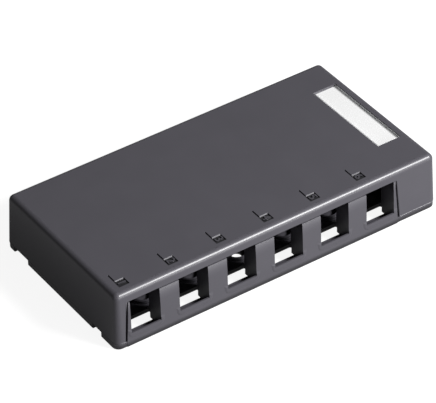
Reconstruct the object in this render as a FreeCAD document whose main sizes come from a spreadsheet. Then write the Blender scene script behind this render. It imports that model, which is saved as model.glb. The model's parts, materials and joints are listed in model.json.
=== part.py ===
"""Surface mount jack box: six keystone ports in one row, a base moulding and a lift-off cover.

Millimetres. X runs along the row of ports, the ports face -Y and Z is up. The origin is on the
underside of the base, below the middle of the box.
"""

import FreeCAD, Part
import math
import os
import re

import Sketcher

# Driving dimensions: (alias, value, what it is). Angles are in degrees, all else in millimetres.
SIZES = [
    ("housing_length", 170.9, "outer length of the cover at its lower edge"),
    ("housing_depth", 88.1, "outer depth of the cover at its lower edge"),
    ("housing_height", 28.8, "underside of the base to the top of the cover"),
    ("draft_angle", 2.94, "lean of every outer wall"),
    ("corner_radius", 3.6, "upright corners of the cover"),
    ("top_radius", 2.7, "edge round the top of the cover"),
    ("cover_wall", 2.2, "side walls of the cover"),
    ("cover_top", 2.2, "top wall of the cover"),
    ("seam_height", 3.1, "height of the cover's lower edge"),
    ("cover_foot", 0.25, "broken outer edge along the foot of the cover"),
    ("cover_edge", 0.2, "broken front edge round the cover's cut-out"),
    ("rim_inset", 0.2, "base rim behind the cover's lower edge"),
    ("rim_foot_radius", 0.7, "lower edge of the base rim"),
    ("floor_thickness", 2.0, "floor of the base"),
    ("cover_gap", 0.4, "running gap between the cover's walls and the base"),
    ("lip_height", 7.0, "top of the locating lip"),
    ("lip_wall", 1.4, "thickness of the locating lip"),
    ("lip_corner", 1.2, "cut corners of the locating lip"),
    ("port_count", 6, "keystone ports"),
    ("port_pitch", 24.76, "from port to port"),
    ("port_width", 15.0, "keystone opening, across"),
    ("port_height", 16.8, "keystone opening, up and down"),
    ("sill_height", 6.8, "lower edge of the openings"),
    ("first_port", 8.15, "left edge of the cover to the first opening"),
    ("panel_margin", 1.6, "panel beside an end port, at half height"),
    ("panel_slant", 4.3, "lean of the panel's two ends"),
    ("panel_wall", 2.4, "thickness of the port panel"),
    ("panel_inset", 0.05, "foot of the panel behind the cover's lower edge"),
    ("panel_foot_radius", 0.45, "lower edge of the panel"),
    ("panel_lean", 1.4, "lean of the panel's lower part"),
    ("head_lean", 4.6, "lean of the panel's head"),
    ("lean_height", 9.6, "height where the panel starts to curve back"),
    ("sill_edge", 0.5, "flat top of the sill below a port"),
    ("sill_bevel", 60, "slope behind the sill, for the jack's lower hook"),
    ("border_width", 2.4, "raised border round the lower half of a port"),
    ("border_foot", 3.1, "lower edge of that border"),
    ("border_head", 9.4, "upper end of that border"),
    ("border_corner", 3.0, "lower corners of that border"),
    ("border_rise", 0.12, "how far that border stands off the panel"),
    ("border_root", 0.1, "depth of the border's root in the panel"),
    ("border_slope", 76, "slope of the border's flanks"),
    ("slit_width", 0.95, "slit between the panel's ends and the cover"),
    ("header_height", 23.6, "lower edge of the cover above the ports"),
    ("header_gap", 0.35, "gap between the panel's head and the cover's header"),
    ("cutout_radius", 0.7, "upper corners of the cover's cut-out"),
    ("cheek_wall", 1.5, "side walls of a keystone pocket"),
    ("cheek_foot", 1.8, "underside of the pocket's side walls"),
    ("cheek_head", 25.4, "top of the pocket's side walls"),
    ("cheek_step", 0.65, "step in the back edge of the side walls"),
    ("cheek_step_height", 3.0, "height of that step"),
    ("pocket_depth", 9.55, "front edge of the cover to the back of a pocket"),
    ("header_bar", 2.0, "bar over the front of a pocket"),
    ("latch_bar", 1.6, "bar over the back of a pocket that holds the jack's latch"),
    ("latch_drop", 1.4, "how far the latch bar hangs below the header bar"),
    ("core_length", 21.8, "opening in the floor behind each port, along the row"),
    ("core_front", 7.1, "front edge of the cover to that opening"),
    ("core_back", 14.2, "front edge of the cover to its far side"),
    ("core_radius", 0.8, "corners of that opening"),
    ("boss_setback", 22.35, "front edge of the cover to the row of screw bosses"),
    ("boss_diameter", 11.0, "screw boss"),
    ("boss_wall", 1.2, "wall of a screw boss"),
    ("boss_height", 1.6, "screw boss above the floor"),
    ("boss_web", 1.2, "floor inside a boss, under the screw's head"),
    ("screw_hole", 4.5, "hole for a mounting screw"),
    ("rear_screw_spacing", 83.3, "between the two rear mounting holes"),
    ("rear_screw_setback", 18.0, "rear edge of the cover to the rear mounting holes"),
    ("breakout_count", 3, "thinned cable break-outs inside the cover's rear wall"),
    ("breakout_pitch", 42.0, "from break-out to break-out"),
    ("breakout_width", 16.0, "break-out, across"),
    ("breakout_height", 12.0, "break-out, up from the cover's lower edge"),
    ("breakout_skin", 0.9, "wall left at the head of a break-out"),
    ("entry_length", 38.0, "cable entry in the floor, along the box"),
    ("entry_depth", 16.0, "cable entry in the floor, front to back"),
    ("entry_radius", 3.0, "corners of the cable entry"),
    ("entry_setback", 10.0, "rear edge of the cover to the cable entry"),
    ("front_notch_width", 7.0, "front release notch in each side of the rim"),
    ("front_notch_setback", 15.45, "front edge of the cover to its middle"),
    ("rear_notch_width", 11.5, "rear release notch in each side of the rim"),
    ("rear_notch_setback", 11.9, "rear edge of the cover to its middle"),
    ("tongue_width", 5.0, "clip tongue above each notch"),
    ("tongue_height", 15.0, "top of the clip tongues"),
    ("bead_height", 12.0, "height of the bead on a clip tongue"),
    ("bead_reach", 0.2, "how far the bead stands off its tongue"),
    ("bead_rise", 1.0, "half height of the bead"),
    ("label_length", 48.7, "label recess, front to back"),
    ("label_width", 12.6, "label recess, across"),
    ("label_setback", 20.25, "front edge of the cover to the label recess"),
    ("label_margin", 5.45, "right edge of the cover to the label recess"),
    ("label_depth", 1.5, "depth of the label recess"),
    ("label_gap", 0.15, "gap round the label window"),
    ("card_thickness", 0.25, "paper label"),
    ("window_thickness", 1.2, "clear window over the label"),
    ("window_bevel", 0.4, "bevel round the top of the window"),
    ("mark_length", 5.2, "recess for a port number, along the row"),
    ("mark_width", 4.7, "recess for a port number, front to back"),
    ("mark_depth", 0.5, "depth of the number recess"),
    ("mark_lead", 1.75, "port's left edge to the left edge of its number recess"),
    ("mark_setback", 5.85, "front edge of the cover to the number recess"),
    ("mark_line_width", 0.8, "groove that runs back from each number recess"),
    ("mark_line_length", 4.8, "length of that groove"),
]

ALIASES = [alias for alias, value, note in SIZES]
ALIAS_PATTERN = re.compile(r"\b(" + "|".join(ALIASES) + r")\b")

# Places that several pieces share, as formulas in the driving dimensions.
HALF_LENGTH = "(housing_length / 2)"
FRONT = "(-housing_depth / 2)"
BACK = "(housing_depth / 2)"
PORT_LEFT = "(first_port - housing_length / 2)"
ROW_LENGTH = "((port_count - 1) * port_pitch)"
ROW_RIGHT = f"({PORT_LEFT} + {ROW_LENGTH} + port_width)"
PANEL_CENTRE = f"(({PORT_LEFT} + {ROW_RIGHT}) / 2)"
PANEL_HEAD = "(header_height - header_gap)"
HALF_HEIGHT = "(header_height / 2)"
PANEL_FOOT = f"({FRONT} + panel_inset)"
PANEL_BEND = f"({PANEL_FOOT} + lean_height * tan(panel_lean))"
PANEL_CURVE = f"(({PANEL_HEAD} - lean_height) / (sin(head_lean) - sin(panel_lean)))"
CURVE_ACROSS = f"({PANEL_BEND} + {PANEL_CURVE} * cos(panel_lean))"
CURVE_UP = f"(lean_height - {PANEL_CURVE} * sin(panel_lean))"
LIP_INSET = "(cover_wall + cover_gap)"
WELL_INSET = f"({LIP_INSET} + lip_wall)"
REACH = 1.0  # how far a cutting outline runs past the solid that it cuts

# The ports' borders grow out of a plane just inside the panel's face.
BORDER_SEAT = f"({PANEL_BEND} + border_root)"


def formula(text):
    """A formula in the driving dimensions, as FreeCAD reads it."""
    return ALIAS_PATTERN.sub(r"sizes.\1", text)


def make_sheet(doc):
    sheet = doc.addObject("Spreadsheet::Sheet", "sizes")
    for row, (alias, value, note) in enumerate(SIZES, start=1):
        sheet.set(f"A{row}", note)
        sheet.set(f"B{row}", str(value))
        sheet.setAlias(f"B{row}", alias)
    doc.recompute()
    return sheet


def value_of(doc, text):
    return float(doc.getObject("sizes").evalExpression(formula(text)))


def make_body(doc, label):
    body = doc.addObject("PartDesign::Body", label + "_body")
    body.Label = label
    return body


def add_sketch(body, name, role, offset):
    """A sketch on one of the body's origin planes, moved along that plane's normal."""
    sketch = body.newObject("Sketcher::SketchObject", name)
    plane = next(f for f in body.Origin.OriginFeatures if f.Role == role)
    sketch.AttachmentSupport = [(plane, "")]
    sketch.MapMode = "FlatFace"
    sketch.setExpression("AttachmentOffset.Base.z", formula(offset))
    return sketch


def pin_point(sketch, edge, end, across, up, kinds=("DistanceX", "DistanceY")):
    """Fix one end of an edge at (across, up), both of them formulas."""
    texts = {"DistanceX": across, "DistanceY": up}
    for kind in kinds:
        text = texts[kind]
        value = value_of(sketch.Document, text)
        index = sketch.addConstraint(Sketcher.Constraint(kind, -1, 1, edge, end, value))
        sketch.setExpression(f"Constraints[{index}]", formula(text))


def draw_outline(sketch, corners):
    """A closed outline through corners, each a pair of formulas (across, up).

    Where a corner has two more formulas, the edge that leaves it is an arc about that centre.
    """
    doc = sketch.Document
    first = sketch.GeometryCount
    count = len(corners)
    points = [FreeCAD.Vector(value_of(doc, c[0]), value_of(doc, c[1]), 0) for c in corners]
    ends = []
    for i, corner in enumerate(corners):
        start, stop = points[i], points[(i + 1) % count]
        if len(corner) == 2:
            sketch.addGeometry(Part.LineSegment(start, stop), False)
            ends.append((1, 2))
            continue
        centre = FreeCAD.Vector(value_of(doc, corner[2]), value_of(doc, corner[3]), 0)
        out, back = start - centre, stop - centre
        turns_left = out.cross(back).z > 0
        angles = [math.atan2(out.y, out.x), math.atan2(back.y, back.x)]
        if not turns_left:
            angles.reverse()
        circle = Part.Circle(centre, FreeCAD.Vector(0, 0, 1), out.Length)
        sketch.addGeometry(Part.ArcOfCircle(circle, *angles), False)
        ends.append((1, 2) if turns_left else (2, 1))
        pin_point(sketch, first + i, 3, corner[2], corner[3])
    for i, corner in enumerate(corners):
        after = (i + 1) % count
        sketch.addConstraint(
            Sketcher.Constraint("Coincident", first + i, ends[i][1], first + after, ends[after][0])
        )
        free = ("DistanceX", "DistanceY")
        if len(corners[i - 1]) == 4:
            # the arc before this corner leaves it one freedom, along the arc
            centre = [value_of(doc, text) for text in corners[i - 1][2:]]
            flat = abs(points[i].y - centre[1]) > abs(points[i].x - centre[0])
            free = ("DistanceX",) if flat else ("DistanceY",)
        pin_point(sketch, first + i, ends[i][0], corner[0], corner[1], free)


def draw_rectangle(sketch, left, right, low, high, radius=None):
    if radius is None:
        draw_outline(sketch, [(left, low), (right, low), (right, high), (left, high)])
        return
    near, far = f"{left} + {radius}", f"{right} - {radius}"
    bottom, top = f"{low} + {radius}", f"{high} - {radius}"
    draw_outline(
        sketch,
        [
            (near, low),
            (far, low, far, bottom),
            (right, bottom),
            (right, top, far, top),
            (far, high),
            (near, high, near, top),
            (left, top),
            (left, bottom, near, bottom),
        ],
    )


def draw_centred(sketch, half_width, half_depth):
    draw_rectangle(sketch, f"-({half_width})", half_width, f"-({half_depth})", half_depth)


def draw_circle(sketch, across, up, diameter):
    doc = sketch.Document
    centre = FreeCAD.Vector(value_of(doc, across), value_of(doc, up), 0)
    circle = Part.Circle(centre, FreeCAD.Vector(0, 0, 1), value_of(doc, diameter) / 2)
    edge = sketch.addGeometry(circle, False)
    pin_point(sketch, edge, 3, across, up)
    index = sketch.addConstraint(
        Sketcher.Constraint("Diameter", edge, value_of(doc, diameter))
    )
    sketch.setExpression(f"Constraints[{index}]", formula(diameter))


def add_feature(body, kind, name, sketch, length, reversed_way=False, taper=None):
    """A Pad or Pocket of a sketch; it must change the body's volume the right way."""
    doc = body.Document
    doc.recompute()
    before = body.Shape.Volume if body.Tip is not None else 0.0
    feature = body.newObject("PartDesign::" + kind, name)
    feature.Profile = sketch
    feature.Reversed = reversed_way
    feature.setExpression("Length", formula(length))
    if taper is not None:
        feature.setExpression("TaperAngle", formula(taper))
    sketch.Visibility = False
    doc.recompute()
    change = body.Shape.Volume - before
    if (change <= 0) if kind == "Pad" else (change >= 0):
        raise RuntimeError(f"{name} changed nothing")
    return feature


def add_row(body, originals, name, count, pitch):
    """Repeat features along X."""
    axis = next(f for f in body.Origin.OriginFeatures if f.Role == "X_Axis")
    row = body.newObject("PartDesign::LinearPattern", name)
    row.Originals = originals
    row.Direction = (axis, [""])
    row.setExpression("Occurrences", formula(count))
    row.setExpression("Length", formula(f"(({count}) - 1) * ({pitch})"))
    body.Tip = row
    body.Document.recompute()
    return row


def find_edges(feature, test):
    edges = feature.Shape.Edges
    return [f"Edge{i + 1}" for i, edge in enumerate(edges) if test(edge.BoundBox, edge)]


def round_edges(body, name, feature, test, radius):
    names = find_edges(feature, test)
    if not names:
        raise RuntimeError(f"{name} found no edge")
    fillet = body.newObject("PartDesign::Fillet", name)
    fillet.Base = (feature, names)
    fillet.setExpression("Radius", formula(radius))
    body.Tip = fillet
    body.Document.recompute()
    return fillet


def lean_faces(body, name, feature, test, height, angle, adds=False):
    """Lean upright faces about a level face; the lean adds material or takes it away."""
    faces = feature.Shape.Faces
    names = [f"Face{i + 1}" for i, face in enumerate(faces) if test(face.BoundBox)]
    level = next(
        f"Face{i + 1}" for i, face in enumerate(faces) if lies_at(face.BoundBox, height)
    )
    draft = body.newObject("PartDesign::Draft", name)
    draft.Base = (feature, names)
    draft.NeutralPlane = (feature, [level])
    draft.setExpression("Angle", formula(angle))
    draft.Reversed = adds
    body.Tip = draft
    body.Document.recompute()
    return draft


def lies_at(box, height):  # an edge's or a face's box
    return box.ZLength < 0.001 and abs(box.ZMin - height) < 0.001


def panel_end(side, height):
    """X of the panel's left (-1) or right (1) end at a height."""
    edge = PORT_LEFT if side < 0 else ROW_RIGHT
    return (
        f"({edge} + {side} * (panel_margin - (({height}) - {HALF_HEIGHT}) * tan(panel_slant)))"
    )


def cutout_end(side, height):
    return f"({panel_end(side, height)} + {side} * slit_width)"


def inner_front(height):
    """The cover's inner face over the ports, with the running gap behind it."""
    return (
        f"({FRONT} + cover_wall + cover_gap + (({height}) - seam_height) * tan(draft_angle))"
    )


# ---------------------------------------------------------------- base moulding


def add_tray(body):
    """Floor, rim that carries the cover, and locating lip inside the cover's walls."""
    sketch = add_sketch(body, "tray_outline", "XY_Plane", "0")
    draw_rectangle(
        sketch,
        f"-{HALF_LENGTH} + rim_inset",
        f"{HALF_LENGTH} - rim_inset",
        f"{FRONT} + rim_inset",
        f"{BACK} - rim_inset",
        "(corner_radius - rim_inset)",
    )
    tray = add_feature(body, "Pad", "tray", sketch, "seam_height")
    round_edges(
        body, "tray_foot", tray, lambda box, edge: lies_at(box, 0), "rim_foot_radius"
    )

    sketch = add_sketch(body, "lip_outline", "XY_Plane", "seam_height")
    side, end = f"({HALF_LENGTH} - {LIP_INSET})", f"({BACK} - {LIP_INSET})"
    draw_outline(
        sketch,
        [
            (f"-{side} + lip_corner", f"-{end}"),
            (f"{side} - lip_corner", f"-{end}"),
            (side, f"-{end} + lip_corner"),
            (side, f"{end} - lip_corner"),
            (f"{side} - lip_corner", end),
            (f"-{side} + lip_corner", end),
            (f"-{side}", f"{end} - lip_corner"),
            (f"-{side}", f"-{end} + lip_corner"),
        ],
    )
    add_feature(body, "Pad", "lip", sketch, "lip_height - seam_height", taper="-draft_angle")

    sketch = add_sketch(body, "well_outline", "XY_Plane", "lip_height")
    draw_centred(sketch, f"{HALF_LENGTH} - {WELL_INSET}", f"{BACK} - {WELL_INSET}")
    add_feature(body, "Pocket", "well", sketch, "lip_height - floor_thickness")


def add_panel(body):
    """The port panel, leaning back at its head, with slanted ends."""
    bay = add_sketch(body, "panel_bay_outline", "XY_Plane", "lip_height")
    draw_rectangle(
        bay,
        panel_end(-1, "seam_height"),
        panel_end(1, "seam_height"),
        f"{FRONT} + {LIP_INSET} - cover_gap",
        f"{FRONT} + {WELL_INSET}",
    )
    add_feature(body, "Pocket", "panel_bay", bay, "lip_height - floor_thickness")

    side = add_sketch(body, "panel_profile", "YZ_Plane", PANEL_CENTRE)
    inner = f"({PANEL_CURVE} - panel_wall)"
    draw_outline(
        side,
        [
            (f"{PANEL_FOOT} + panel_wall", "0"),
            (
                f"{PANEL_FOOT} + panel_foot_radius",
                "0",
                f"{PANEL_FOOT} + panel_foot_radius",
                "panel_foot_radius",
            ),
            (PANEL_FOOT, "panel_foot_radius"),
            (PANEL_BEND, "lean_height", CURVE_ACROSS, CURVE_UP),
            (f"{CURVE_ACROSS} - {PANEL_CURVE} * cos(head_lean)", PANEL_HEAD),
            (
                f"{CURVE_ACROSS} - sqrt({inner}^2 - ({PANEL_HEAD} - {CURVE_UP})^2)",
                PANEL_HEAD,
                CURVE_ACROSS,
                CURVE_UP,
            ),
            (
                f"{CURVE_ACROSS} - sqrt({inner}^2 - (lean_height - {CURVE_UP})^2)",
                "lean_height",
            ),
        ],
    )
    width = f"{panel_end(1, 'seam_height')} - {panel_end(-1, 'seam_height')}"
    panel = add_feature(body, "Pad", "panel", side, width)
    panel.Midplane = True
    body.Document.recompute()

    add_borders(body)

    ends = add_sketch(body, "panel_end_outline", "XZ_Plane", f"{BACK} + {REACH}")
    for sign in (-1, 1):
        outer = f"{panel_end(sign, 'seam_height')} + {sign * REACH}"
        draw_outline(
            ends,
            [
                (panel_end(sign, "seam_height"), "seam_height"),
                (panel_end(sign, PANEL_HEAD), PANEL_HEAD),
                (panel_end(sign, PANEL_HEAD), f"{PANEL_HEAD} + {REACH}"),
                (outer, f"{PANEL_HEAD} + {REACH}"),
                (outer, "seam_height"),
            ],
        )
    add_feature(body, "Pocket", "panel_ends", ends, f"{REACH} + pocket_depth")


def add_borders(body):
    """A shallow raised border round the lower half of each port."""
    outline = add_sketch(body, "border_outline", "XZ_Plane", f"-{BORDER_SEAT}")
    left, right = f"({PORT_LEFT} - border_width)", f"({PORT_LEFT} + port_width + border_width)"
    cut, half_cut = "border_corner", f"border_corner * {1 - math.sqrt(0.5):.4f}"
    draw_outline(
        outline,
        [
            (left, f"border_foot + {cut}"),
            (f"{left} + {half_cut}", f"border_foot + {half_cut}"),
            (f"{left} + {cut}", "border_foot"),
            (f"{right} - {cut}", "border_foot"),
            (f"{right} - {half_cut}", f"border_foot + {half_cut}"),
            (right, f"border_foot + {cut}"),
            (right, "border_head"),
            (left, "border_head"),
        ],
    )
    rise = "border_rise + border_root + (lean_height - border_foot) * tan(panel_lean)"
    border = add_feature(body, "Pad", "border", outline, rise, taper="-border_slope")
    add_row(body, [border], "border_row", "port_count", "port_pitch")


def add_ports(body):
    """Keystone openings with their pockets, and the opening in the floor behind each."""
    depth = f"{inner_front('cheek_head')} + header_bar"
    pocket_back = f"({FRONT} + pocket_depth)"

    opening = add_sketch(body, "port_outline", "XZ_Plane", f"{BACK} + {REACH}")
    right = f"{PORT_LEFT} + port_width"
    draw_rectangle(opening, PORT_LEFT, right, "sill_height", "sill_height + port_height")
    port = add_feature(body, "Pocket", "port", opening, f"{REACH} + pocket_depth")

    bevel = add_sketch(body, "sill_profile", "YZ_Plane", PORT_LEFT)
    top = f"({PANEL_FOOT} + sill_height * tan(panel_lean) + sill_edge)"
    back = f"({PANEL_FOOT} + panel_wall + sill_edge)"
    foot = f"sill_height - ({back} - {top}) * tan(sill_bevel)"
    above = f"sill_height + {REACH}"
    draw_outline(bevel, [(top, "sill_height"), (back, foot), (back, above), (top, above)])
    sill = add_feature(body, "Pocket", "sill", bevel, "port_width", reversed_way=True)

    cheeks = []
    for name, place in (("left", f"{PORT_LEFT} - cheek_wall"), ("right", right)):
        profile = add_sketch(body, f"cheek_{name}_profile", "YZ_Plane", place)
        inside = "panel_wall / 2"
        step_top = "cheek_foot + cheek_step_height"
        draw_outline(
            profile,
            [
                (f"{PANEL_FOOT} + {inside}", "cheek_foot"),
                (f"{pocket_back} - cheek_step", "cheek_foot"),
                (f"{pocket_back} - cheek_step", step_top),
                (pocket_back, step_top),
                (pocket_back, "cheek_head"),
                (inner_front("cheek_head"), "cheek_head"),
                (inner_front("cheek_head"), PANEL_HEAD),
                (f"{PANEL_BEND} + {inside}", PANEL_HEAD),
            ],
        )
        cheeks.append(add_feature(body, "Pad", f"cheek_{name}", profile, "cheek_wall"))

    bars = add_sketch(body, "pocket_bar_profile", "YZ_Plane", PORT_LEFT)
    top = "sill_height + port_height"
    draw_rectangle(bars, inner_front("cheek_head"), depth, top, "cheek_head")
    latch = f"{pocket_back} - latch_bar"
    draw_rectangle(bars, latch, pocket_back, f"{top} - latch_drop", "cheek_head")
    bar = add_feature(body, "Pad", "pocket_bars", bars, "port_width")

    core = add_sketch(body, "core_outline", "XY_Plane", "floor_thickness")
    middle = f"{PORT_LEFT} + port_width / 2"
    draw_rectangle(
        core,
        f"{middle} - core_length / 2",
        f"{middle} + core_length / 2",
        f"{FRONT} + core_front",
        f"{FRONT} + core_back",
        "core_radius",
    )
    slot = add_feature(body, "Pocket", "core", core, "floor_thickness")
    add_row(body, [port, sill, *cheeks, bar, slot], "port_row", "port_count", "port_pitch")


def add_bosses(body):
    """Screw bosses between the ports and at the rear; three of them are drilled through."""
    first = f"{PORT_LEFT} + (port_width + port_pitch) / 2"
    height = "floor_thickness + boss_height"
    bore = "boss_diameter - 2 * boss_wall"
    front_row = f"{FRONT} + boss_setback"
    ring = add_sketch(body, "boss_outline", "XY_Plane", "floor_thickness")
    draw_circle(ring, first, front_row, "boss_diameter")
    boss = add_feature(body, "Pad", "boss", ring, "boss_height")
    cup = add_sketch(body, "boss_bore_outline", "XY_Plane", height)
    draw_circle(cup, first, front_row, bore)
    drill = add_feature(body, "Pocket", "boss_bore", cup, f"{height} - boss_web")
    add_row(body, [boss, drill], "boss_row", "port_count - 1", "port_pitch")

    rear_row = f"{BACK} - rear_screw_setback"
    ring = add_sketch(body, "rear_boss_outline", "XY_Plane", "floor_thickness")
    cup = add_sketch(body, "rear_bore_outline", "XY_Plane", height)
    hole = add_sketch(body, "screw_hole_outline", "XY_Plane", "floor_thickness")
    for sign in (-1, 1):
        across = f"{sign} * rear_screw_spacing / 2"
        draw_circle(ring, across, rear_row, "boss_diameter")
        draw_circle(cup, across, rear_row, bore)
        draw_circle(hole, across, rear_row, "screw_hole")
    draw_circle(hole, f"{first} + 2 * port_pitch", front_row, "screw_hole")
    add_feature(body, "Pad", "rear_bosses", ring, "boss_height")
    add_feature(body, "Pocket", "rear_bores", cup, f"{height} - boss_web")
    add_feature(body, "Pocket", "screw_holes", hole, "floor_thickness")


def add_entry(body):
    """Cable entry through the floor near the back."""
    entry = add_sketch(body, "entry_outline", "XY_Plane", "floor_thickness")
    draw_rectangle(
        entry,
        "-entry_length / 2",
        "entry_length / 2",
        f"({BACK} - entry_setback - entry_depth)",
        f"({BACK} - entry_setback)",
        "entry_radius",
    )
    add_feature(body, "Pocket", "entry", entry, "floor_thickness")


def notch_places():
    """(side, middle, width) of the four release notches."""
    front = f"({FRONT} + front_notch_setback)"
    rear = f"({BACK} - rear_notch_setback)"
    return [
        (side, middle, width)
        for side in (-1, 1)
        for middle, width in ((front, "front_notch_width"), (rear, "rear_notch_width"))
    ]


def add_clips(body):
    """Release notches in the rim, with a clip tongue and its bead above each."""
    notches = add_sketch(body, "notch_outline", "XY_Plane", "seam_height")
    tongues = add_sketch(body, "tongue_outline", "XY_Plane", "seam_height")
    for side, middle, width in notch_places():
        outer = f"{side} * ({HALF_LENGTH} + {REACH})"
        face = f"{side} * ({HALF_LENGTH} - {LIP_INSET})"
        inner = f"{side} * ({HALF_LENGTH} - {WELL_INSET})"
        low, high = f"{middle} - {width} / 2", f"{middle} + {width} / 2"
        draw_rectangle(notches, outer, face, low, high)
        low, high = f"{middle} - tongue_width / 2", f"{middle} + tongue_width / 2"
        draw_rectangle(tongues, face, inner, low, high)
    add_feature(body, "Pocket", "notches", notches, "seam_height")
    rise = "tongue_height - seam_height"
    add_feature(body, "Pad", "tongues", tongues, rise, taper="-draft_angle")

    lean = "(bead_height - seam_height) * tan(draft_angle)"
    for number, (side, middle, width) in enumerate(notch_places(), start=1):
        # the XZ plane faces -Y, so its offset is minus Y and the bead is padded both ways
        bead = add_sketch(body, f"bead_{number}_profile", "XZ_Plane", f"-({middle})")
        wall = f"({HALF_LENGTH} - {LIP_INSET} - {lean})"
        draw_outline(
            bead,
            [
                (f"{side} * ({wall} - lip_wall / 2)", "bead_height - bead_rise"),
                (f"{side} * ({wall} + bead_rise * tan(draft_angle))", "bead_height - bead_rise"),
                (f"{side} * ({wall} + bead_reach)", "bead_height"),
                (f"{side} * ({wall} - bead_rise * tan(draft_angle))", "bead_height + bead_rise"),
                (f"{side} * ({wall} - lip_wall / 2)", "bead_height + bead_rise"),
            ],
        )
        pad = add_feature(body, "Pad", f"bead_{number}", bead, "tongue_width - 2 * bead_rise")
        pad.Midplane = True
    body.Document.recompute()


def make_base(doc):
    body = make_body(doc, "base")
    add_tray(body)
    add_panel(body)
    add_ports(body)
    add_bosses(body)
    add_entry(body)
    add_clips(body)
    return body


# ---------------------------------------------------------------- cover


def draw_wall(sketch, inset):
    """The cover's outline at its lower edge, moved in by a distance."""
    draw_rectangle(
        sketch,
        f"(-{HALF_LENGTH} + {inset})",
        f"({HALF_LENGTH} - {inset})",
        f"({FRONT} + {inset})",
        f"({BACK} - {inset})",
        f"(corner_radius - {inset})",
    )


def add_shell(body):
    """Outer form with leaning walls, its crown and broken lower edge, and the cavity."""
    doc = body.Document
    foot, top = value_of(doc, "seam_height"), value_of(doc, "housing_height")
    sketch = add_sketch(body, "shell_outline", "XY_Plane", "seam_height")
    draw_wall(sketch, "0")
    shell = add_feature(body, "Pad", "shell", sketch, "housing_height - seam_height")
    shell = lean_faces(
        body, "shell_lean", shell, lambda box: box.ZLength > 1.0, foot, "draft_angle"
    )
    shell = round_edges(
        body, "shell_crown", shell, lambda box, edge: lies_at(box, top), "top_radius"
    )
    broken = body.newObject("PartDesign::Chamfer", "shell_foot")
    broken.Base = (shell, find_edges(shell, lambda box, edge: lies_at(box, foot)))
    broken.setExpression("Size", formula("cover_foot"))
    body.Tip = broken
    doc.recompute()

    sketch = add_sketch(body, "cavity_outline", "XY_Plane", "seam_height")
    draw_wall(sketch, "cover_wall")
    depth = "housing_height - cover_top - seam_height"
    cavity = add_feature(body, "Pocket", "cavity", sketch, depth, reversed_way=True)
    roof = value_of(doc, "housing_height - cover_top")
    lean_faces(
        body,
        "cavity_lean",
        cavity,
        lambda box: abs(box.ZMax - roof) < 0.001 and box.ZLength > 1.0,
        foot,
        "draft_angle",
        adds=True,
    )


def add_cutout(body):
    """The opening in the front wall that the port panel fills."""
    doc = body.Document
    sketch = add_sketch(body, "cutout_outline", "XZ_Plane", f"{BACK} + {REACH}")
    draw_outline(
        sketch,
        [
            (cutout_end(-1, f"seam_height - {REACH}"), f"seam_height - {REACH}"),
            (cutout_end(1, f"seam_height - {REACH}"), f"seam_height - {REACH}"),
            (cutout_end(1, "header_height"), "header_height"),
            (cutout_end(-1, "header_height"), "header_height"),
        ],
    )
    length = f"{REACH} + 2 * cover_wall"
    cut = add_feature(body, "Pocket", "cutout", sketch, length)
    header = value_of(doc, "header_height")

    def upper_corner(box, edge):
        along_y = box.XLength < 0.01 and box.ZLength < 0.01 and box.YLength > 1.0
        return along_y and abs(box.ZMin - header) < 0.01

    rounded = round_edges(body, "cutout_corners", cut, upper_corner, "cutout_radius")

    lean = math.tan(math.radians(value_of(doc, "draft_angle")))
    front, seam = value_of(doc, FRONT), value_of(doc, "seam_height")
    left, right = (value_of(doc, cutout_end(side, "seam_height")) for side in (-1, 1))
    foot = value_of(doc, "seam_height + cover_foot")

    def on_front_edge(box, edge):
        ends = [vertex.Point for vertex in edge.Vertexes]
        on_face = all(abs(p.y - front - (p.z - seam) * lean) < 0.001 for p in ends)
        inside = left - REACH < box.XMin and box.XMax < right + REACH
        return on_face and inside and foot + 0.01 < box.ZMax < header + REACH

    broken = body.newObject("PartDesign::Chamfer", "cutout_edges")
    broken.Base = (rounded, find_edges(rounded, on_front_edge))
    broken.setExpression("Size", formula("cover_edge"))
    body.Tip = broken
    doc.recompute()


def add_label_recess(body):
    sketch = add_sketch(body, "label_outline", "XY_Plane", "housing_height")
    draw_rectangle(sketch, *label_edges("0"))
    add_feature(body, "Pocket", "label_recess", sketch, "label_depth")


def add_breakouts(body):
    """Thinned places in the rear wall, cut from inside, that are broken out for cables."""
    inside = f"({BACK} - 2 * cover_wall)"
    sketch = add_sketch(body, "breakout_outline", "XZ_Plane", f"-{inside}")
    middle = "(-(breakout_count - 1) * breakout_pitch / 2)"
    draw_rectangle(
        sketch,
        f"{middle} - breakout_width / 2",
        f"{middle} + breakout_width / 2",
        f"seam_height - {REACH}",
        "seam_height + breakout_height",
    )
    length = "2 * cover_wall - breakout_skin - breakout_height * tan(draft_angle)"
    cut = add_feature(body, "Pocket", "breakout", sketch, length)
    add_row(body, [cut], "breakout_row", "breakout_count", "breakout_pitch")


def label_edges(gap):
    """Left, right, front and rear edge of the label recess, less a gap."""
    right = f"({HALF_LENGTH} - label_margin - {gap})"
    left = f"({HALF_LENGTH} - label_margin - label_width + {gap})"
    front = f"({FRONT} + label_setback + {gap})"
    rear = f"({FRONT} + label_setback + label_length - {gap})"
    return left, right, front, rear


def add_number_recesses(body):
    """A recess for each port's number, with a groove that runs back from it."""
    left = f"({PORT_LEFT} - mark_lead)"
    low = f"({FRONT} + mark_setback)"
    high = f"({low} + mark_width)"
    sketch = add_sketch(body, "mark_outline", "XY_Plane", "housing_height")
    draw_outline(
        sketch,
        [
            (left, low),
            (f"{left} + mark_length", low),
            (f"{left} + mark_length", high),
            (f"{left} + mark_line_width", high),
            (f"{left} + mark_line_width", f"{high} + mark_line_length"),
            (left, f"{high} + mark_line_length"),
        ],
    )
    mark = add_feature(body, "Pocket", "mark", sketch, "mark_depth")
    add_row(body, [mark], "mark_row", "port_count", "port_pitch")


def make_cover(doc):
    body = make_body(doc, "cover")
    add_shell(body)
    add_cutout(body)
    add_breakouts(body)
    add_label_recess(body)
    add_number_recesses(body)
    return body


# ---------------------------------------------------------------- label


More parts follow.
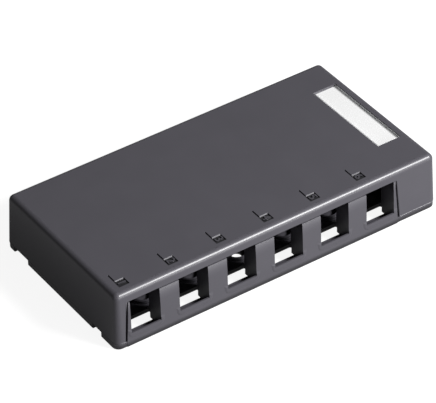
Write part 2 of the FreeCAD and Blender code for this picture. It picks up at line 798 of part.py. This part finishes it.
def make_card(doc):
    body = make_body(doc, "label_card")
    sketch = add_sketch(body, "card_outline", "XY_Plane", "housing_height - label_depth")
    draw_rectangle(sketch, *label_edges("label_gap"))
    add_feature(body, "Pad", "card", sketch, "card_thickness")
    return body


def make_window(doc):
    body = make_body(doc, "label_window")
    seat = "housing_height - label_depth + card_thickness"
    sketch = add_sketch(body, "window_outline", "XY_Plane", seat)
    draw_rectangle(sketch, *label_edges("label_gap"))
    pane = add_feature(body, "Pad", "pane", sketch, "window_thickness")
    top = value_of(doc, f"{seat} + window_thickness")
    bevel = body.newObject("PartDesign::Chamfer", "window_edges")
    bevel.Base = (pane, find_edges(pane, lambda box, edge: lies_at(box, top)))
    bevel.setExpression("Size", formula("window_bevel"))
    body.Tip = bevel
    doc.recompute()
    return body


def check_and_write(doc, bodies):
    doc.recompute()
    for item in doc.Objects:
        if "Invalid" in item.State or "Error" in item.State:
            raise RuntimeError(f"{item.Name} failed: {item.State}")
    for body in bodies:
        shape = body.Shape
        if shape.isNull() or not shape.isValid() or len(shape.Solids) != 1:
            raise RuntimeError(f"{body.Label} is not one valid solid")
    os.makedirs("parts", exist_ok=True)
    for body in bodies:
        body.Shape.exportStep(os.path.join("parts", body.Label + ".step"))
        box = body.Shape.BoundBox
        print(body.Label, [round(v, 2) for v in (box.XLength, box.YLength, box.ZLength)],
              round(body.Shape.Volume), "mm3")


def main():
    doc = FreeCAD.newDocument("jack_box")
    make_sheet(doc)
    bodies = [make_base(doc), make_cover(doc), make_card(doc), make_window(doc)]
    check_and_write(doc, bodies)


main()
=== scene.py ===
"""Looks of the surface mount jack box: plastic, label, port numbers, light and camera.

Lengths are in metres and angles in degrees. +X runs along the row of ports, from port 1 to
port 6, the ports face -Y, and +Z points up from the mounting surface.
"""

import json
import math

import bpy
from mathutils import Matrix, Vector


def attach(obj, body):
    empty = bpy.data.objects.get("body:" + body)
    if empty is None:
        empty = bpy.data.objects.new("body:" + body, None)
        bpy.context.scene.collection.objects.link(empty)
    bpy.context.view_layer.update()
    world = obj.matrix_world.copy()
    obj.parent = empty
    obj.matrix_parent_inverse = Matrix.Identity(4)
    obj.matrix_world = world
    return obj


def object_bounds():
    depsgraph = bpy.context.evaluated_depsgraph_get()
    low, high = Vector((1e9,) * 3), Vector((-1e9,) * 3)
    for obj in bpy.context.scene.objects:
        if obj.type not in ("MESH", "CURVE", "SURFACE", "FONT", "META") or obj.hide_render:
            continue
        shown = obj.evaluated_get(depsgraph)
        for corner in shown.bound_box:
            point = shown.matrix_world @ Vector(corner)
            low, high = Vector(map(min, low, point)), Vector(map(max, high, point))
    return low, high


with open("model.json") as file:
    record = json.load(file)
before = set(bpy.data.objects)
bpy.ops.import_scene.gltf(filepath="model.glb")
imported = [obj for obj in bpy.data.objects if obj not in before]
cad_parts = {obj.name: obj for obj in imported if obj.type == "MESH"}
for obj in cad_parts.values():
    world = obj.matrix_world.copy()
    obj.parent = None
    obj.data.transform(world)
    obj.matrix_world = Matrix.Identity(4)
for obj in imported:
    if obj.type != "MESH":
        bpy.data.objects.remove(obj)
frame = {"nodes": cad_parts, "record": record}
cad_low, cad_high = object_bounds()


# ------------------------------------------------------------------ objects and nodes


def add_object(name, data):
    obj = bpy.data.objects.new(name, data)
    bpy.context.collection.objects.link(obj)
    return obj


def add_mesh(name, corners, faces):
    mesh = bpy.data.meshes.new(name)
    mesh.from_pydata(corners, [], faces)
    return add_object(name, mesh)


def add_sheet(name, middle, length, width, level):
    """A level rectangle that faces up, its length along X."""
    x, y = middle
    left, right = x - length / 2, x + length / 2
    front, rear = y - width / 2, y + width / 2
    outline = [(left, front), (right, front), (right, rear), (left, rear)]
    return add_mesh(name, [(*point, level) for point in outline], [(0, 1, 2, 3)])


def aim(obj, place, right, up, back):
    """Puts a lamp or the camera at place, looking away from the direction back."""
    turn = Matrix((right, up, back)).transposed().to_4x4()
    obj.matrix_world = Matrix.Translation(place) @ turn


def dress(obj, mat):
    obj.data.materials.clear()
    obj.data.materials.append(mat)


def add_node(tree, kind, **values):
    """A shader node. Each value sets the input of that name, or else the setting."""
    node = tree.nodes.new(kind)
    for key, value in values.items():
        if key in node.inputs:
            node.inputs[key].default_value = value
        else:
            setattr(node, key, value)
    return node


def add_math(tree, operation, *values):
    """The result of a maths node. Each value is a number or the output of another node."""
    node = add_node(tree, "ShaderNodeMath", operation=operation)
    for socket, value in zip(node.inputs, values):
        if isinstance(value, bpy.types.NodeSocket):
            tree.links.new(value, socket)
        else:
            socket.default_value = value
    return node.outputs[0]


def add_noise(tree, coords, pattern):
    """Noise fixed to the piece. A pattern is its cells per metre, detail and roughness."""
    scale, detail, roughness = pattern
    noise = add_node(tree, "ShaderNodeTexNoise", Scale=scale, Detail=detail, Roughness=roughness)
    tree.links.new(coords.outputs["Object"], noise.inputs["Vector"])
    return noise


def add_range(tree, noise, low, high):
    """Noise spread over the range from low to high."""
    spread = add_node(tree, "ShaderNodeMapRange")
    spread.inputs["To Min"].default_value = low
    spread.inputs["To Max"].default_value = high
    tree.links.new(noise.outputs["Fac"], spread.inputs["Value"])
    return spread.outputs["Result"]


def colour_socket(sockets, name):
    """The colour socket of that name. A Mix node has a socket of each name for every data type."""
    return next(s for s in sockets if s.type == "RGBA" and s.name == name)


# ------------------------------------------------------------------ materials


PLASTIC_COLOUR = (0.075, 0.072, 0.084)
COVER_ROUGHNESS = 0.35
BASE_ROUGHNESS = 0.38
# Painted shade: the near-black colour of the sheet on each number recess's floor stands in for the
# shadow there.
RECESS_SHADE_COLOUR = (0.012, 0.012, 0.014)
RECESS_ROUGHNESS = 0.6
GLOSS_SPREAD = 0.04
GRAIN = (2600.0, 3.0, 0.6)
GRAIN_STRENGTH = 0.12
GRAIN_DEPTH = 0.00002
MOTTLE = (60.0, 2.0, 0.5)
MOTTLE_TONES = (0.93, 1.07)

# A roll makes a wall look curved without changing its shape. It is the height at which the
# curve begins, 1 where it goes on upwards or -1 downwards, and how sharply it bends back.
# A negative bend flares outwards instead, and catches the light along the edge.
COVER_ROLLS = ((0.0038, -1.0, -1050.0),)
BASE_ROLLS = ((0.0175, 1.0, 33.0), (0.0031, -1.0, 215.0))

PAPER_COLOUR = (0.78, 0.78, 0.78)
PAPER_ROUGHNESS = 0.8
FIBRE = (900.0, 4.0, 0.6)
FIBRE_TONE = 0.985

WINDOW_COLOUR = (0.86, 0.87, 0.88)
WINDOW_ROUGHNESS = 0.1
WINDOW_FACE_ALPHA = 0.02
# Painted reflection: the window's left and right sides are nearly opaque in the window's pale
# colour, standing in for the card's light that a clear side shows.
SIDE_REFLECTION_ALPHA = 0.9
HAZE = (120.0, 2.0, 0.5)


def new_material(name, colour, roughness):
    mat = bpy.data.materials.new(name)
    mat.use_nodes = True
    shader = mat.node_tree.nodes["Principled BSDF"]
    shader.inputs["Base Color"].default_value = (*colour, 1.0)
    shader.inputs["Roughness"].default_value = roughness
    return mat, mat.node_tree, shader


def vary_gloss(tree, noise, shader, roughness):
    gloss = add_range(tree, noise, roughness - GLOSS_SPREAD, roughness + GLOSS_SPREAD)
    tree.links.new(gloss, shader.inputs["Roughness"])


def rolled_face(tree, coords, rolls):
    """The normal of walls that are shaded as if they curved at each roll."""
    split = add_node(tree, "ShaderNodeSeparateXYZ")
    tree.links.new(coords.outputs["Object"], split.inputs["Vector"])
    relief = 0.0
    for start, side, bend in rolls:
        beyond = add_math(tree, "MULTIPLY_ADD", split.outputs["Z"], side, -side * start)
        reach = add_math(tree, "MAXIMUM", beyond, 0.0)
        square = add_math(tree, "MULTIPLY", reach, reach)
        relief = add_math(tree, "MULTIPLY_ADD", square, -bend, relief)
    bump = add_node(tree, "ShaderNodeBump", Strength=1.0, Distance=1.0)
    tree.links.new(relief, bump.inputs["Height"])
    return bump.outputs["Normal"]


def moulded_plastic(name, colour, roughness, rolls=()):
    """Fine spark-eroded texture: slight mottling in colour and gloss, and a shallow bump."""
    mat, tree, shader = new_material(name, colour, roughness)
    coords = add_node(tree, "ShaderNodeTexCoord")
    fine = add_noise(tree, coords, GRAIN)
    broad = add_noise(tree, coords, MOTTLE)
    tone = add_range(tree, broad, *MOTTLE_TONES)
    paint = add_node(tree, "ShaderNodeMix", data_type="RGBA", blend_type="MULTIPLY")
    paint.inputs["Factor"].default_value = 1.0
    colour_socket(paint.inputs, "A").default_value = (*colour, 1.0)
    tree.links.new(tone, colour_socket(paint.inputs, "B"))
    tree.links.new(colour_socket(paint.outputs, "Result"), shader.inputs["Base Color"])
    vary_gloss(tree, fine, shader, roughness)
    bump = add_node(tree, "ShaderNodeBump", Strength=GRAIN_STRENGTH, Distance=GRAIN_DEPTH)
    tree.links.new(fine.outputs["Fac"], bump.inputs["Height"])
    if rolls:
        tree.links.new(rolled_face(tree, coords, rolls), bump.inputs["Normal"])
    tree.links.new(bump.outputs["Normal"], shader.inputs["Normal"])
    return mat


def paper(name):
    """White card whose fibres show as a faint change of tone."""
    mat, tree, shader = new_material(name, PAPER_COLOUR, PAPER_ROUGHNESS)
    coords = add_node(tree, "ShaderNodeTexCoord")
    fibre = add_noise(tree, coords, FIBRE)
    ramp = add_node(tree, "ShaderNodeValToRGB")
    dark, light = ramp.color_ramp.elements
    dark.color = (*(channel * FIBRE_TONE for channel in PAPER_COLOUR), 1.0)
    light.color = (*PAPER_COLOUR, 1.0)
    tree.links.new(fibre.outputs["Fac"], ramp.inputs["Fac"])
    tree.links.new(ramp.outputs["Color"], shader.inputs["Base Color"])
    return mat


def clear_plastic(name):
    """Clear window: light passes its flat face. Its left and right sides are nearly opaque and
    pale, a painted reflection that stands in for the card's light seen through the clear plastic.
    """
    mat, tree, shader = new_material(name, WINDOW_COLOUR, WINDOW_ROUGHNESS)
    coords = add_node(tree, "ShaderNodeTexCoord")
    facing = add_node(tree, "ShaderNodeSeparateXYZ")
    tree.links.new(coords.outputs["Normal"], facing.inputs["Vector"])
    side_reflection_mask = add_math(tree, "ABSOLUTE", facing.outputs["X"])
    alpha = add_math(tree, "MULTIPLY_ADD", side_reflection_mask, SIDE_REFLECTION_ALPHA, WINDOW_FACE_ALPHA)
    tree.links.new(alpha, shader.inputs["Alpha"])
    vary_gloss(tree, add_noise(tree, coords, HAZE), shader, WINDOW_ROUGHNESS)
    return mat


cover_plastic = moulded_plastic("cover_plastic", PLASTIC_COLOUR, COVER_ROUGHNESS, COVER_ROLLS)
base_plastic = moulded_plastic("base_plastic", PLASTIC_COLOUR, BASE_ROUGHNESS, BASE_ROLLS)
# The recess plastic is painted shade on the floors of the number recesses.
recess_shade_plastic = moulded_plastic("recess_shade_plastic", RECESS_SHADE_COLOUR, RECESS_ROUGHNESS)
nodes = frame["nodes"]
dress(nodes["cover"], cover_plastic)
dress(nodes["base"], base_plastic)
dress(nodes["label_card"], paper("label_paper"))
dress(nodes["label_window"], clear_plastic("window_plastic"))


# ------------------------------------------------------------------ port numbers


# A number recess lies in the cover's top behind each port, its middle this far along X and Y
# from the port's mount. A groove opens into the left end of the recess's rear wall, and the
# rest of that wall leans back.
RECESS_FROM_PORT = (-0.00666, 0.00785)
RECESS_LENGTH = 0.0052
RECESS_WIDTH = 0.0047
RECESS_DEPTH = 0.0005
RECESS_FLOOR = cad_high[2] - RECESS_DEPTH
GROOVE_WIDTH = 0.0008
SLOPE_RUN = 0.00034
SHADE_SHEET_LIFT = 0.00002
NUMBER_SIZE = 0.0056
NUMBER_BEVEL = 0.00012
NUMBER_INSET = 0.00004
NUMBER_TURN = -90


def recess_middle(port):
    x, y, _ = port["pos_m"]
    return x + RECESS_FROM_PORT[0], y + RECESS_FROM_PORT[1]


def seat_on_cover(piece, mat):
    bpy.context.view_layer.update()
    dress(piece, mat)
    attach(piece, "cover_body")


def add_recess_field(digit, middle):
    """A near-black sheet on the recess's floor, coarse and dull. It is painted shade that stands in
    for the shadow in the recess, so that the figure stands out from it.
    """
    level = RECESS_FLOOR + SHADE_SHEET_LIFT
    piece = add_sheet(f"number_shade_sheet_{digit}", middle, RECESS_LENGTH, RECESS_WIDTH, level)
    seat_on_cover(piece, recess_shade_plastic)


def add_number(digit, middle):
    """One raised figure with bevelled edges, its head towards +X, as high as its recess is deep."""
    name = f"port_number_{digit}"
    curve = bpy.data.curves.new(name, "FONT")
    curve.body = str(digit)
    curve.size = NUMBER_SIZE
    curve.align_x = "CENTER"
    curve.align_y = "CENTER"
    curve.extrude = RECESS_DEPTH / 2 - NUMBER_BEVEL
    curve.bevel_depth = NUMBER_BEVEL
    curve.bevel_resolution = 0
    curve.offset = -NUMBER_INSET
    maker = add_object("maker", curve)
    bpy.context.view_layer.update()
    mesh = bpy.data.meshes.new_from_object(maker)
    bpy.data.objects.remove(maker)
    piece = add_object(name, mesh)
    piece.location = (*middle, RECESS_FLOOR + RECESS_DEPTH / 2)
    piece.rotation_euler = (0, 0, math.radians(NUMBER_TURN))
    seat_on_cover(piece, cover_plastic)


def add_recess_slope(digit, middle):
    """The leaning rear wall of a number recess, as a wedge in the corner at its foot."""
    x, y = middle
    left, right = x - RECESS_LENGTH / 2 + GROOVE_WIDTH, x + RECESS_LENGTH / 2
    wall = y + RECESS_WIDTH / 2
    foot = wall - SLOPE_RUN
    top = RECESS_FLOOR + RECESS_DEPTH
    corners = [
        (end, *point)
        for end in (left, right)
        for point in ((foot, RECESS_FLOOR), (wall, RECESS_FLOOR), (wall, top))
    ]
    # The two ends, the slope, the wall and the floor.
    faces = [(0, 2, 1), (3, 4, 5), (0, 3, 5, 2), (1, 2, 5, 4), (0, 1, 4, 3)]
    seat_on_cover(add_mesh(f"number_slope_{digit}", corners, faces), cover_plastic)


ports = [mount for mount in frame["record"]["mounts"] if mount["name"].startswith("port_")]
for digit, port in enumerate(ports, start=1):
    middle = recess_middle(port)
    add_recess_field(digit, middle)
    add_number(digit, middle)
    add_recess_slope(digit, middle)


# ------------------------------------------------------------------ stage


# The floor lies a hair below the box, so that it doesn't share a plane with the underside.
FLOOR_SIDE = 6.0
FLOOR_LEVEL = -0.0001
FLOOR_COLOUR = (0.22, 0.22, 0.22)
FLOOR_ROUGHNESS = 0.9

# Strength of the floor's and the surroundings' own glow: as seen, and as reflected in the box.
FLOOR_SEEN = 0.9
FLOOR_REFLECTED = 0.12
WORLD_SEEN = 0.92
WORLD_REFLECTED = 0.07
WORLD_ALWAYS = 0.08

LAMP_TARGET = Vector((0, 0, 0.01))
UPWARD = Vector((0, 0, 1))

# The camera's place is measured right, up and back, as the picture lies, from a mark at the
# box's lower front left corner. Its angles are azimuth from the front, elevation and roll.
CAMERA_ANGLES = (-34.312, 38.51, -0.793)
CAMERA_MARK = Vector((-0.08563, -0.04421, 0))
CAMERA_RIGHT = 0.042886
CAMERA_UP = 0.063913
CAMERA_BACK = 1.273233
CAMERA_LENS_MM = 249.45
CAMERA_SENSOR_MM = 36.0
CAMERA_NEAR = 0.05
CAMERA_FAR = 50.0


def background_glow(tree, seen, reflected, always=0.0):
    """Strength of a pale background: as seen, as reflected, and a part that every ray meets."""
    paths = add_node(tree, "ShaderNodeLightPath")
    shares = {"Is Camera Ray": seen, "Is Transmission Ray": seen, "Is Glossy Ray": reflected}
    total = always
    for ray, share in shares.items():
        total = add_math(tree, "MULTIPLY_ADD", paths.outputs[ray], share, total)
    return total


def add_floor():
    """A grey floor with a white glow, so that only a faint shadow of the box shows on it."""
    floor = add_sheet("floor", (0, 0), FLOOR_SIDE, FLOOR_SIDE, FLOOR_LEVEL)
    mat, tree, shader = new_material("floor_white", FLOOR_COLOUR, FLOOR_ROUGHNESS)
    glow = add_node(tree, "ShaderNodeEmission")
    tree.links.new(background_glow(tree, FLOOR_SEEN, FLOOR_REFLECTED), glow.inputs["Strength"])
    both = add_node(tree, "ShaderNodeAddShader")
    tree.links.new(shader.outputs[0], both.inputs[0])
    tree.links.new(glow.outputs[0], both.inputs[1])
    tree.links.new(both.outputs[0], tree.nodes["Material Output"].inputs["Surface"])
    dress(floor, mat)


def add_lamp(name, place, width, height, watts):
    """A soft rectangular lamp that faces the box."""
    lamp = bpy.data.lights.new(name, "AREA")
    lamp.shape = "RECTANGLE"
    lamp.size = width
    lamp.size_y = height
    lamp.energy = watts
    back = (Vector(place) - LAMP_TARGET).normalized()
    right = UPWARD.cross(back).normalized()
    aim(add_object(name, lamp), Vector(place), right, back.cross(right), back)


def add_world():
    """Pale surroundings, which light the box a little from every side."""
    world = bpy.data.worlds.new("studio")
    world.use_nodes = True
    tree = world.node_tree
    sky = tree.nodes["Background"]
    sky.inputs["Color"].default_value = (1, 1, 1, 1)
    strength = background_glow(tree, WORLD_SEEN, WORLD_REFLECTED, WORLD_ALWAYS)
    tree.links.new(strength, sky.inputs["Strength"])
    bpy.context.scene.world = world


def add_camera():
    """The view from the front left, above, through a long lens."""
    azimuth, elevation, roll = (math.radians(angle) for angle in CAMERA_ANGLES)
    back = Vector(
        (
            math.sin(azimuth) * math.cos(elevation),
            -math.cos(azimuth) * math.cos(elevation),
            math.sin(elevation),
        )
    )
    side = Vector((math.cos(azimuth), math.sin(azimuth), 0))
    level_up = back.cross(side)
    right = side * math.cos(roll) + level_up * math.sin(roll)
    up = level_up * math.cos(roll) - side * math.sin(roll)
    camera = bpy.data.cameras.new("camera")
    camera.lens = CAMERA_LENS_MM
    camera.sensor_width = CAMERA_SENSOR_MM
    camera.clip_start = CAMERA_NEAR
    camera.clip_end = CAMERA_FAR
    obj = add_object("camera", camera)
    place = CAMERA_MARK + right * CAMERA_RIGHT + up * CAMERA_UP + back * CAMERA_BACK
    aim(obj, place, right, up, back)
    bpy.context.scene.camera = obj


add_floor()
add_lamp("strip", place=(0.53, -0.79, 0.75), width=0.4, height=0.16, watts=23.0)
add_lamp("front", place=(0.35, -1.4, 0.25), width=0.8, height=0.4, watts=8.0)
add_world()
add_camera()

settings = bpy.context.scene.view_settings
settings.view_transform = "Standard"
